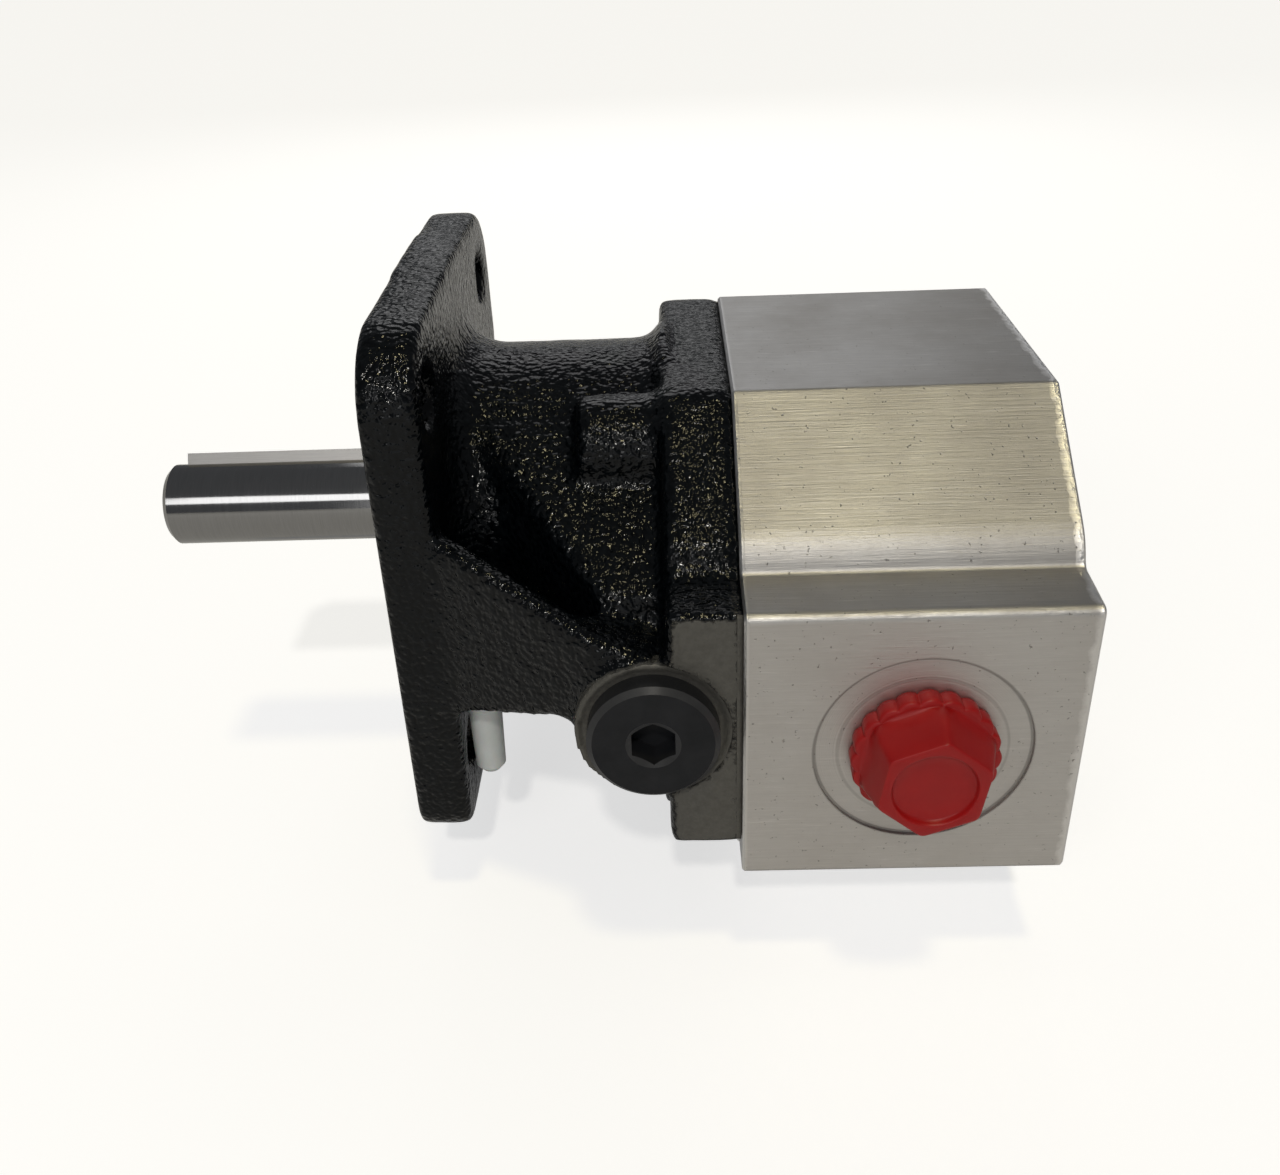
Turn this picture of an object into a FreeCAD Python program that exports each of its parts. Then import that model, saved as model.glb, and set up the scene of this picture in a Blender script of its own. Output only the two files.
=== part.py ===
"""Hydraulic gear pump: a cast front housing and an aluminium gear housing around two meshing gears.

Frame: origin where the shaft axis crosses the flange's front face, +X along the shaft towards the
rear cover, +Z up and -Y towards the outlet port.  Millimetres.
"""
import FreeCAD, Part
import math
import os
import Sketcher

Vector = FreeCAD.Vector

# ---------------------------------------------------------------- driving dimensions
SIZES = [
    # drive shaft, a 3/4 inch keyed stub
    ("stub_diameter", 19.05), ("stub_length", 61.0), ("stub_chamfer", 1.2),
    ("key_width", 4.76), ("key_length", 50.0), ("key_end_gap", 4.0), ("key_angle", -30.0),
    ("journal_diameter", 20.0),
    # mounting flange, a square of four bolts
    ("flange_near", 54.5), ("flange_far", 58.0), ("flange_rise", 56.5), ("flange_drop", 58.0),
    ("flange_thickness", 12.0), ("flange_crown", 1.2), ("flange_crown_side", 6.0),
    ("corner_large", 16.0), ("corner_small", 6.0), ("bolt_spacing", 82.6), ("bolt_hole", 11.1),
    # casting
    ("housing_length", 71.1), ("neck_radius", 36.0), ("neck_sweep", 8.0), ("end_flange_length", 14.5),
    ("web_floor", -25.0), ("web_arch", 7.6), ("web_arch_end", 35.0), ("web_ridge", 16.0),
    ("web_boss_top", 4.0), ("web_hollow_floor", -10.0), ("web_inner_side", 22.0), ("wall", 6.0),
    ("flank_side", 61.0), ("flank_top", 28.0), ("flank_shoulder", 24.0), ("flank_ridge", 6.5),
    ("flank_foot", -28.0), ("flank_root", 16.0),
    ("pad_foot", -44.0), ("pad_foot_side", 50.0), ("lobe_foot", 26.0), ("lobe_side", 26.0),
    # section that both housings share
    ("top_height", 37.0), ("top_half_width", 31.5), ("shoulder_side", 59.5), ("shoulder_drop", 20.5),
    ("ledge_drop", 25.5), ("ledge_side", 62.0), ("port_face", 75.8),
    ("gear_section_length", 65.5), ("shoulder_round", 14.0), ("top_round", 1.5),
    ("ledge_round", 1.5), ("port_edge_round", 2.0), ("rim_chamfer", 0.5),
    # gears
    ("gear_module", 3.175), ("gear_width", 22.0), ("port_station", 105.8),
    ("tip_clearance", 0.08), ("side_gap", 0.06), ("running_gap", 0.03),
    # plates, bushings and seals
    ("block_front_gap", 0.3), ("thrust_plate", 3.0), ("bush_wall", 1.5), ("rear_bush_length", 12.0),
    ("seal_land", 1.6), ("section_seal_width", 2.4), ("section_seal_depth", 1.6),
    ("seal_outer", 35.0), ("seal_width", 7.0), ("passage_diameter", 28.0),
    # ball bearing 20 x 47 x 14 and its rings
    ("bearing_outer", 47.0), ("bearing_width", 14.0), ("bearing_setback", 4.2),
    ("ball_diameter", 7.9), ("ring_wire", 1.75),
    ("gear_key_width", 5.0), ("gear_key_length", 17.0),
    # screws and dowels
    ("screw_diameter", 10.0), ("screw_head", 16.0), ("screw_depth", 13.0), ("screw_boss", 17.0),
    ("screw_side", 26.0), ("screw_rise", 21.7), ("lug_radius", 10.8), ("lug_length", 32.0),
    ("lug_side", 27.5), ("lug_rise", 24.0),
    ("counterbore_depth", 11.0), ("dowel_diameter", 8.0), ("dowel_reach", 7.0),
    ("dowel_side", 44.0), ("dowel_drop", 38.0),
    # outlet and inlet ports
    ("outlet_bore", 24.6), ("outlet_spotface", 42.6), ("inlet_bore", 30.4), ("inlet_spotface", 49.0),
    ("spotface_depth", 0.6), ("port_depth", 19.0),
    ("cap_flange", 28.8), ("cap_flange_thickness", 4.2), ("cap_hex", 23.4), ("cap_height", 13.0),
    ("cap_taper", 12.0), ("cap_turn", 21.0), ("cap_dish_rim", 3.6), ("cap_dish_depth", 0.8),
    ("cap_shank", 9.0),
    # relief valve
    ("valve_station", 53.8), ("valve_height", -15.5), ("boss_radius", 15.4), ("pad_face", 75.2),
    ("valve_spotface", 30.0), ("valve_spotface_depth", 1.2), ("plug_head", 25.8),
    ("plug_proud", 3.9), ("plug_thread", 22.2), ("plug_thread_length", 14.0), ("plug_hex", 8.4),
    ("valve_bore", 18.0), ("valve_bore_end", 34.0), ("seat_length", 7.0), ("seat_hole", 8.0),
    ("spring_wire", 1.8), ("spring_pitch", 3.9), ("spring_pocket", 6.0),
    ("plug_socket_depth", 6.0), ("poppet_head", 13.0), ("poppet_length", 12.0),
    # drain plug under the neck
    ("drain_station", 16.4), ("drain_side", 46.0), ("drain_diameter", 7.4), ("drain_seat", 9.0),
    ("drain_length", 20.5),
]

TEETH = 13
BALLS = 8
PRESSURE_ANGLE = math.radians(25.0)

doc = FreeCAD.newDocument("gear_pump")
sheet = doc.addObject("Spreadsheet::Sheet", "Sizes")
for row, (alias, number) in enumerate(SIZES, start=1):
    sheet.set("A%d" % row, alias)
    sheet.set("B%d" % row, str(number))
    sheet.setAlias("B%d" % row, alias)
doc.recompute()


# ---------------------------------------------------------------- sizes that carry their formula
class Size:
    """A number and the sheet formula that gives it."""

    def __init__(self, value, text):
        self.value = float(value)
        self.text = text

    def __add__(self, other):
        other = as_size(other)
        return Size(self.value + other.value, "(%s + %s)" % (self.text, other.text))

    def __sub__(self, other):
        other = as_size(other)
        return Size(self.value - other.value, "(%s - %s)" % (self.text, other.text))

    def __mul__(self, other):
        other = as_size(other)
        return Size(self.value * other.value, "(%s * %s)" % (self.text, other.text))

    def __truediv__(self, other):
        other = as_size(other)
        return Size(self.value / other.value, "(%s / %s)" % (self.text, other.text))

    def __radd__(self, other):
        return as_size(other) + self

    def __rsub__(self, other):
        return as_size(other) - self

    def __rmul__(self, other):
        return as_size(other) * self

    def __neg__(self):
        return as_size(0) - self


def as_size(number):
    return number if isinstance(number, Size) else Size(number, repr(float(number)))


class Sheet:
    """Reads the sheet, so that sheet sizes are written as plain names."""

    def __getattr__(self, alias):
        return Size(sheet.get(alias), "Sizes." + alias)


size = Sheet()
# ---------------------------------------------------------------- builders
def body_on_sheet(label, place=(0, 0, 0)):
    """An empty PartDesign body whose placement follows the sheet."""
    body = doc.addObject("PartDesign::Body", label)
    body.Label = label
    bind_place(body, place)
    return body


def bind(feature, **properties):
    for name, number in properties.items():
        feature.setExpression(name, as_size(number).text)


def bind_place(feature, place):
    for axis, number in zip("xyz", place):
        feature.setExpression("Placement.Base." + axis, as_size(number).text)


def sketch(body, plane, corners=(), circles=(), offset=0):
    """A sketch on an origin plane: one closed outline of (across, up) corners, and whole circles."""
    drawing = body.newObject("Sketcher::SketchObject", "profile")
    origin_plane = [f for f in body.Origin.OriginFeatures if f.Role == plane][0]
    drawing.AttachmentSupport = [(origin_plane, "")]
    drawing.MapMode = "FlatFace"
    drawing.setExpression("AttachmentOffset.Base.z", as_size(offset).text)
    corners = [(as_size(across), as_size(up)) for across, up in corners]
    points = [Vector(across.value, up.value, 0) for across, up in corners]
    for number, point in enumerate(points):
        drawing.addGeometry(Part.LineSegment(point, points[(number + 1) % len(points)]))
    for number, corner in enumerate(corners):
        following = (number + 1) % len(corners)
        drawing.addConstraint(Sketcher.Constraint("Coincident", number, 2, following, 1))
        dimension_point(drawing, number, 1, corner)
    for across, up, radius in circles:
        across, up, radius = as_size(across), as_size(up), as_size(radius)
        centre = Vector(across.value, up.value, 0)
        ring = drawing.addGeometry(Part.Circle(centre, Vector(0, 0, 1), radius.value))
        dimension_point(drawing, ring, 3, (across, up))
        dimension(drawing, Sketcher.Constraint("Radius", ring, radius.value), radius)
    return drawing


def dimension_point(drawing, edge, end, corner):
    """Dimensions a point from the sketch origin, or puts it on an axis where it is zero."""
    for kind, axis, number in (("DistanceX", -2, corner[0]), ("DistanceY", -1, corner[1])):
        if number.text == "0.0":
            drawing.addConstraint(Sketcher.Constraint("PointOnObject", edge, end, axis))
        else:
            dimension(drawing, Sketcher.Constraint(kind, -1, 1, edge, end, number.value), number)


def dimension(drawing, constraint, number):
    index = drawing.addConstraint(constraint)
    if "Sizes" in number.text:
        drawing.setExpression("Constraints[%d]" % index, number.text)


def pad(body, drawing, length, reverse=False):
    feature = body.newObject("PartDesign::Pad", "pad")
    feature.Profile = drawing
    bind(feature, Length=length)
    feature.Reversed = reverse
    return feature


def pocket(body, drawing, length, reverse=False):
    """Cuts away from the sketch, and fails loudly if nothing was cut."""
    feature = body.newObject("PartDesign::Pocket", "pocket")
    feature.Profile = drawing
    bind(feature, Length=length)
    feature.Reversed = reverse
    check_cut(body, feature)
    return feature


def check_cut(body, feature):
    doc.recompute()
    before = feature.BaseFeature.Shape.Volume
    if not feature.Shape.Volume < before - 0.01:
        raise RuntimeError("%s: %s removes nothing" % (body.Label, feature.Name))


def revolve(body, drawing, axis="H_Axis"):
    feature = body.newObject("PartDesign::Revolution", "revolution")
    feature.Profile = drawing
    feature.ReferenceAxis = (drawing, [axis])
    feature.Angle = 360
    return feature


def groove(body, drawing, axis="H_Axis"):
    feature = body.newObject("PartDesign::Groove", "groove")
    feature.Profile = drawing
    feature.ReferenceAxis = (drawing, [axis])
    feature.Angle = 360
    check_cut(body, feature)
    return feature


def edge_centre(edge):
    return edge.valueAt((edge.FirstParameter + edge.LastParameter) / 2)


def soften(body, kind, radius, chosen):
    """A fillet or chamfer on the edges of the tip that chosen(edge) accepts."""
    doc.recompute()
    tip = body.Tip
    names = ["Edge%d" % (i + 1) for i, edge in enumerate(tip.Shape.Edges) if chosen(edge)]
    if not names:
        raise RuntimeError("%s: no edge to soften" % body.Label)
    feature = body.newObject("PartDesign::" + kind, kind.lower())
    feature.Base = (tip, names)
    bind(feature, **{"Radius" if kind == "Fillet" else "Size": radius})
    doc.recompute()
    return feature


def turned_about_x(label, corners, height=0):
    """A body turned about X from (station, radius) corners, its axis at the given height."""
    body = body_on_sheet(label, (0, 0, height))
    revolve(body, sketch(body, "XZ_Plane", corners))
    return body


def turned_about_y(label, corners, place):
    """A body turned about Y from (radius, y) corners."""
    body = body_on_sheet(label, place)
    revolve(body, sketch(body, "XY_Plane", corners), "V_Axis")
    return body


def ring_corners(start, end, inner, outer):
    return [(start, inner), (end, inner), (end, outer), (start, outer)]


def cylinder(name, radius, height, place, along):
    """A Part cylinder that starts at place and runs along an axis."""
    turns = {"X": (Vector(0, 1, 0), 90), "Y": (Vector(1, 0, 0), -90), "-Y": (Vector(1, 0, 0), 90),
             "-X": (Vector(0, 1, 0), -90), "Z": (Vector(0, 0, 1), 0)}
    drum = doc.addObject("Part::Cylinder", name)
    drum.Placement.Rotation = FreeCAD.Rotation(*turns[along])
    bind(drum, Radius=radius, Height=height)
    bind_place(drum, place)
    return drum


def group(label, pieces):
    """Identical loose pieces as one node: separate solids in a compound."""
    bundle = doc.addObject("Part::Compound", label)
    bundle.Label = label
    bundle.Links = pieces
    return bundle


# ---------------------------------------------------------------- stations and radii
ZERO = as_size(0)
pitch_radius = size.gear_module * TEETH / 2
gear_centres = size.gear_module * TEETH
idler_height = -gear_centres
mesh_height = -gear_centres / 2
tip_radius = pitch_radius + size.gear_module
chamber_radius = tip_radius + size.tip_clearance
stub_radius = size.stub_diameter / 2
journal_radius = size.journal_diameter / 2
bush_bore = journal_radius + size.running_gap
bush_outer = bush_bore + size.bush_wall
passage_radius = size.passage_diameter / 2

gear_front = size.port_station - size.gear_width / 2
gear_back = size.port_station + size.gear_width / 2
joint_plane = size.housing_length
block_front = joint_plane + size.block_front_gap
block_back = gear_front - size.side_gap
thrust_front = gear_back + size.side_gap
thrust_back = thrust_front + size.thrust_plate
rear_bush_end = thrust_back + size.rear_bush_length
rear_face = joint_plane + size.gear_section_length

bearing_front = size.bearing_setback
bearing_back = bearing_front + size.bearing_width
seal_front = bearing_back + 2
seal_back = seal_front + size.seal_width
bearing_radius = size.bearing_outer / 2

boss_height = size.valve_height
plug_seat = -size.pad_face + size.valve_spotface_depth


def section(side_near, side_far, foot):
    """The outline across the shaft that both housings share, seen from the front: (y, z) corners.

    side_near and side_far are how far the port faces reach; foot is the drop of the near port face.
    """
    top = size.top_height
    drop = mesh_height * 2
    shoulder = top - size.shoulder_drop
    ledge = top - size.ledge_drop
    return [
        (-size.top_half_width, top), (size.top_half_width, top), (size.shoulder_side, shoulder),
        (size.ledge_side, ledge), (side_far, ledge - 1), (side_far, drop - ledge + 1),
        (size.ledge_side, drop - ledge), (size.shoulder_side, drop - shoulder),
        (size.top_half_width, drop - top), (-size.top_half_width, drop - top),
        (-size.shoulder_side, drop - shoulder), (-size.ledge_side, drop - ledge),
        (-side_near, foot), (-side_near, ledge - 1), (-size.ledge_side, ledge),
        (-size.shoulder_side, shoulder),
    ]


# ---------------------------------------------------------------- front housing, the black casting
def make_front_housing():
    """The casting: solid masses fused together, then bored and drilled."""
    casting = doc.addObject("Part::MultiFuse", "casting")
    casting.Shapes = [make_flange_and_neck(), make_flank(), make_web()]
    tools = doc.addObject("Part::MultiFuse", "casting_bores")
    tools.Shapes = casting_bores()
    housing = doc.addObject("Part::Cut", "front_housing")
    housing.Base, housing.Tool = casting, tools
    housing.Label = "front_housing"
    return housing


def make_flange_and_neck():
    """Mounting flange, neck, end flange with its near pad, screw bosses and the valve boss."""
    body = body_on_sheet("flange_and_neck")
    near_side, far_side = size.flange_near, size.flange_far
    rise, drop = size.flange_rise, size.flange_drop
    crown = size.flange_crown
    plate = sketch(body, "YZ_Plane", [
        (-near_side, -drop), (far_side, -drop), (far_side, rise - crown / 4),
        (size.flange_crown_side, rise + crown * 3 / 4), (-near_side, rise - crown / 2)])
    pad(body, plate, size.flange_thickness)
    for near, low, radius in ((True, False, size.corner_large), (False, False, size.corner_large),
                              (True, True, size.corner_small), (False, True, size.corner_large)):
        soften(body, "Fillet", radius, lambda edge: is_flange_corner(edge, near, low))
    revolve(body, sketch(body, "XZ_Plane", neck_corners()))
    add_end_flange(body)
    boss = sketch(body, "XZ_Plane", circles=[(size.valve_station, boss_height, size.boss_radius)],
                  offset=20)
    pad(body, boss, size.pad_face - 20)
    return body


def neck_corners():
    """The neck's profile, sweeping out to both flanges in a quarter round of short chords."""
    start, end = size.flange_thickness, joint_plane - size.end_flange_length
    corners = [(start - 2, 0), (start - 2, size.neck_radius + size.neck_sweep)]
    for anchor, direction, sweep, angles in ((start, 1, size.neck_sweep, (0, 30, 60, 90)),
                                             (end, -1, size.neck_sweep / 2, (90, 45, 0))):
        for angle in angles:
            turn = math.radians(angle)
            corners.append((anchor + sweep * (direction * (1 - math.cos(turn))),
                            size.neck_radius + sweep * (1 - math.sin(turn))))
    corners += [(end + 2, size.neck_radius + size.neck_sweep / 2), (end + 2, 0)]
    return corners


def is_flange_corner(edge, near, low):
    """True for the flange's corner edge along X on the given side."""
    centre = edge_centre(edge)
    along_x = abs(edge.tangentAt(edge.FirstParameter).x) > 0.99
    full_length = abs(edge.Length - size.flange_thickness.value) < 0.01
    edge_side = -size.flange_near.value if near else size.flange_far.value
    edge_level = -size.flange_drop.value if low else size.flange_rise.value
    beside = abs(centre.y - edge_side) < 0.01
    return along_x and full_length and beside and abs(centre.z - edge_level) < size.corner_small.value


def screw_places():
    """The four screws' (y, z), the same distance from both gear axes."""
    return [(size.screw_side * side, rise) for side in (-1, 1)
            for rise in (size.screw_rise, idler_height - size.screw_rise)]


def dowel_places():
    return [(size.dowel_side * side, -size.dowel_drop) for side in (-1, 1)]


def add_end_flange(body):
    """The flange at the joint, with the near pad and round bosses for the screws."""
    start = joint_plane - size.end_flange_length
    top, ledge = size.top_height, size.top_height - size.ledge_drop
    shoulder = top - size.shoulder_drop
    floor = idler_height - size.lobe_foot
    outline = [
        (-size.top_half_width, top), (size.top_half_width, top), (size.shoulder_side, shoulder),
        (size.ledge_side, ledge), (size.ledge_side, size.pad_foot), (size.lobe_side, floor),
        (-size.lobe_side, floor), (-size.pad_foot_side, size.pad_foot),
        (-size.pad_face, size.pad_foot), (-size.pad_face, ledge - 1), (-size.ledge_side, ledge),
        (-size.shoulder_side, shoulder)]
    pad(body, sketch(body, "YZ_Plane", outline, offset=start), size.end_flange_length)
    lobe = sketch(body, "YZ_Plane", circles=[(0, idler_height, size.neck_radius)], offset=start)
    pad(body, lobe, size.end_flange_length)
    for y, z in screw_places():
        if z.value < 0:
            boss = sketch(body, "YZ_Plane", circles=[(y, z, size.screw_boss / 2)],
                          offset=joint_plane - size.screw_depth - 3)
            pad(body, boss, size.screw_depth + 3)
    lug = sketch(body, "YZ_Plane", circles=[(-size.lug_side, size.lug_rise, size.lug_radius)],
                 offset=joint_plane - size.lug_length)
    pad(body, lug, size.lug_length - size.end_flange_length / 2)


def make_flank():
    """The shoulder that widens from the neck to the valve boss, its top sloping to the near side."""
    body = body_on_sheet("flank")
    start, end = size.flange_thickness - 1, joint_plane - size.end_flange_length + 1
    side, foot = size.flank_side, size.flank_foot
    pad(body, sketch(body, "YZ_Plane", [
        (0, foot), (0, size.flank_top), (-size.flank_shoulder, size.flank_top),
        (-side, size.flank_ridge), (-side, foot)], offset=start), end - start)
    plan = sketch(body, "XY_Plane", [
        (start - 1, -size.flank_root), (size.valve_station - 9, -side - 1), (start - 1, -side - 1)],
        offset=foot - 1)
    pocket(body, plan, size.flank_top - foot + 2, reverse=True)
    return body


def make_web():
    """The gusset from the flange's near edge to the valve boss, arched below, hollow from above."""
    body = body_on_sheet("web")
    root, end = size.flange_thickness, size.valve_station
    edge, reach = size.flange_near, size.pad_face - 2
    bend, past, clear = end - 11, end + 1, size.web_ridge + 2
    pad(body, sketch(body, "XY_Plane", [
        (root - 1, -edge), (bend, -reach + 1), (end, -reach), (end, -size.web_inner_side),
        (root - 1, -size.web_inner_side)], offset=size.web_floor), size.web_ridge - size.web_floor)
    slope = sketch(body, "XZ_Plane", [
        (root, size.web_ridge + 1), (bend, size.web_boss_top), (past, size.web_boss_top - 4),
        (past, clear), (root, clear)], offset=10)
    pocket(body, slope, size.pad_face, reverse=True)
    crown = size.web_floor + size.web_arch
    arch = sketch(body, "XZ_Plane", [
        (root, size.web_floor - 1), (root + 2, size.web_floor + 1), (size.web_arch_end, crown),
        (past, crown), (past, size.web_floor - 1)], offset=10)
    pocket(body, arch, size.pad_face, reverse=True)
    hollow = sketch(body, "XY_Plane", [
        (root, -edge + size.wall), (bend - 4, -reach + size.wall + 4), (bend + 2, -size.flank_side),
        (root, -size.web_inner_side)], offset=size.web_hollow_floor)
    pocket(body, hollow, size.web_ridge - size.web_floor, reverse=True)
    return body


def casting_bores():
    """Everything that is cut from the casting."""
    groove_side = bearing_radius + size.ring_wire - 0.3
    ring_front = bearing_front - size.ring_wire - 0.1
    bore = turned_about_x("shaft_bore", [
        (-1, 0), (-1, bearing_radius + 2), (0, bearing_radius + 1), (1, bearing_radius),
        (ring_front, bearing_radius), (ring_front, groove_side), (bearing_front, groove_side),
        (bearing_front, bearing_radius), (bearing_back, bearing_radius),
        (bearing_back, size.seal_outer / 2), (seal_back, size.seal_outer / 2),
        (seal_back, passage_radius), (joint_plane + 1, passage_radius), (joint_plane + 1, 0)])
    station, height = size.valve_station, boss_height
    valve = turned_about_y("valve_cavity", [
        (0, -size.pad_face - 6), (size.valve_spotface / 2, -size.pad_face - 6),
        (size.valve_spotface / 2, plug_seat), (size.plug_thread / 2, plug_seat),
        (size.plug_thread / 2, plug_seat + size.plug_thread_length + 1),
        (size.valve_bore / 2, plug_seat + size.plug_thread_length + 1),
        (size.valve_bore / 2, -size.valve_bore_end), (size.seat_hole / 2, -size.valve_bore_end),
        (size.seat_hole / 2, -passage_radius + 3), (0, -passage_radius + 3)], (station, 0, height))
    tools = [bore, valve]
    for y, z in screw_places():
        tools.append(cylinder("screw_hole", size.screw_diameter / 2, size.screw_depth + 2,
                              (joint_plane - size.screw_depth - 1, y, z), "X"))
    for y, z in dowel_places():
        tools.append(cylinder("dowel_hole", size.dowel_diameter / 2, size.dowel_reach + 1,
                              (joint_plane - size.dowel_reach, y, z), "X"))
    for side in (-1, 1):
        for rise in (-1, 1):
            place = (-1, size.bolt_spacing / 2 * side, size.bolt_spacing / 2 * rise)
            tools.append(cylinder("mounting_hole", size.bolt_hole / 2, size.flange_thickness + 2,
                                  place, "X"))
    drain = (size.drain_station, -size.drain_side, size.web_floor - 1)
    tools.append(cylinder("drain_port", size.drain_diameter / 2, size.drain_seat + 1, drain, "Z"))
    return tools


# ---------------------------------------------------------------- gear housing, the aluminium block
def make_gear_housing():
    """The bored and drilled block, with a groove in its front face for the section seal."""
    seal_groove = make_seal_band("seal_groove", -1, size.section_seal_depth + 0.05, 0.1)
    housing = doc.addObject("Part::Cut", "gear_housing")
    housing.Base, housing.Tool = make_gear_block(), seal_groove
    housing.Label = "gear_housing"
    return housing


def make_gear_block():
    body = body_on_sheet("gear_block")
    foot = mesh_height * 2 - (size.top_height - size.ledge_drop) + 1
    outline = section(size.port_face, size.port_face, foot)
    pad(body, sketch(body, "YZ_Plane", outline, offset=joint_plane), size.gear_section_length)
    soften(body, "Fillet", size.shoulder_round, lambda edge: is_long_edge(edge, size.shoulder_side))
    soften(body, "Fillet", size.top_round, lambda edge: is_long_edge(edge, size.top_half_width))
    soften(body, "Fillet", size.ledge_round, lambda edge: is_long_edge(edge, size.ledge_side))
    soften(body, "Fillet", size.port_edge_round, lambda edge: is_long_edge(edge, size.port_face))
    soften(body, "Chamfer", size.rim_chamfer, is_block_rim)
    for height in (ZERO, idler_height):
        chamber = sketch(body, "YZ_Plane", circles=[(0, height, chamber_radius)], offset=thrust_back)
        pocket(body, chamber, thrust_back - joint_plane + 1)
        bush_hole = sketch(body, "YZ_Plane", circles=[(0, height, bush_outer)], offset=rear_bush_end)
        pocket(body, bush_hole, size.rear_bush_length + 2)
    for bore, spotface, side in ((size.outlet_bore, size.outlet_spotface, 1),
                                 (size.inlet_bore, size.inlet_spotface, -1)):
        face = size.port_face * side
        for diameter, depth in ((spotface, size.spotface_depth), (bore, size.port_depth),
                                (bore * 0.75, size.port_face - chamber_radius + 6)):
            drill = sketch(body, "XZ_Plane", offset=face,
                           circles=[(size.port_station, mesh_height, diameter / 2)])
            pocket(body, drill, depth, reverse=side < 0)
    heads = [(y, z, size.screw_head / 2 + 0.5) for y, z in screw_places()]
    shanks = [(y, z, size.screw_diameter / 2 + 0.3) for y, z in screw_places()]
    dowels = [(y, z, size.dowel_diameter / 2) for y, z in dowel_places()]
    pocket(body, sketch(body, "YZ_Plane", circles=heads, offset=rear_face), size.counterbore_depth)
    pocket(body, sketch(body, "YZ_Plane", circles=shanks, offset=rear_face),
           size.gear_section_length + 1)
    pocket(body, sketch(body, "YZ_Plane", circles=dowels, offset=joint_plane + size.dowel_reach),
           size.dowel_reach + 1)
    return body


def is_long_edge(edge, side):
    """True for an edge along X that lies this far to either side."""
    along_x = abs(edge.tangentAt(edge.FirstParameter).x) > 0.99
    return along_x and abs(abs(edge_centre(edge).y) - side.value) < 0.01


def is_block_rim(edge):
    """True for the edges round the block's front and rear faces."""
    return min(abs(edge_centre(edge).x - joint_plane.value),
               abs(edge_centre(edge).x - rear_face.value)) < 0.01


# ---------------------------------------------------------------- shafts and gears
def make_drive_shaft():
    """Chamfered stub, then one journal through bearing, seal, bushings and drive gear."""
    stub_end, chamfer = -size.stub_length, size.stub_chamfer
    blank = turned_about_x("shaft_blank", [
        (stub_end, 0), (stub_end, stub_radius - chamfer), (stub_end + chamfer, stub_radius),
        (bearing_front - 2, stub_radius), (bearing_front - 2, journal_radius - 0.02),
        (rear_bush_end - 1, journal_radius - 0.02), (rear_bush_end - 0.4, journal_radius - 0.8),
        (rear_bush_end - 0.4, 0)])
    slots = doc.addObject("Part::MultiFuse", "keyways")
    slots.Shapes = [stub_key_box("stub_keyway"), gear_key_box("gear_keyway", journal_radius + 1)]
    shaft = doc.addObject("Part::Cut", "drive_shaft")
    shaft.Base, shaft.Tool = blank, slots
    shaft.Label = "drive_shaft"
    return shaft


def stub_key_box(name):
    """The square key in the stub, half its height proud of the shaft."""
    start = -size.stub_length + size.key_end_gap
    return keyway_box(name, start, size.key_length, size.key_width,
                      stub_radius - size.key_width / 2, stub_radius + size.key_width / 2,
                      size.key_angle.value)


def gear_key_box(name, high):
    """The key under the drive gear, opposite the mesh."""
    start = size.port_station - size.gear_key_length / 2
    return keyway_box(name, start, size.gear_key_length, size.gear_key_width,
                      journal_radius - size.gear_key_width / 2, high, 0)


def keyway_box(name, start, length, width, low, high, angle):
    """A box along X from start, between two distances from the axis, turned about the axis."""
    box = doc.addObject("Part::Box", name)
    bind(box, Length=length, Width=width, Height=high - low)
    turn = math.radians(angle)
    box.Placement.Rotation = FreeCAD.Rotation(Vector(1, 0, 0), angle)
    across, along = -width / 2, low
    bind_place(box, (start, across * math.cos(turn) - along * math.sin(turn),
                     across * math.sin(turn) + along * math.cos(turn)))
    return box


def involute_flank(count):
    """Points of one flank from the base circle outward, symmetric teeth about +X, in the plane."""
    module = size.gear_module.value
    pitch = module * TEETH / 2
    base = pitch * math.cos(PRESSURE_ANGLE)
    tip = pitch + module
    spread = math.tan(PRESSURE_ANGLE) - PRESSURE_ANGLE
    half_tooth = math.pi / (2 * TEETH) - 0.02 / pitch + spread
    last = math.sqrt((tip / base) ** 2 - 1)
    points = []
    for step in range(count):
        roll = last * step / (count - 1)
        radius = base * math.sqrt(1 + roll * roll)
        angle = half_tooth - (roll - math.atan(roll))
        points.append((radius, angle))
    return points


def polar(radius, angle, station):
    return Vector(station, radius * math.cos(angle), radius * math.sin(angle))


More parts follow.
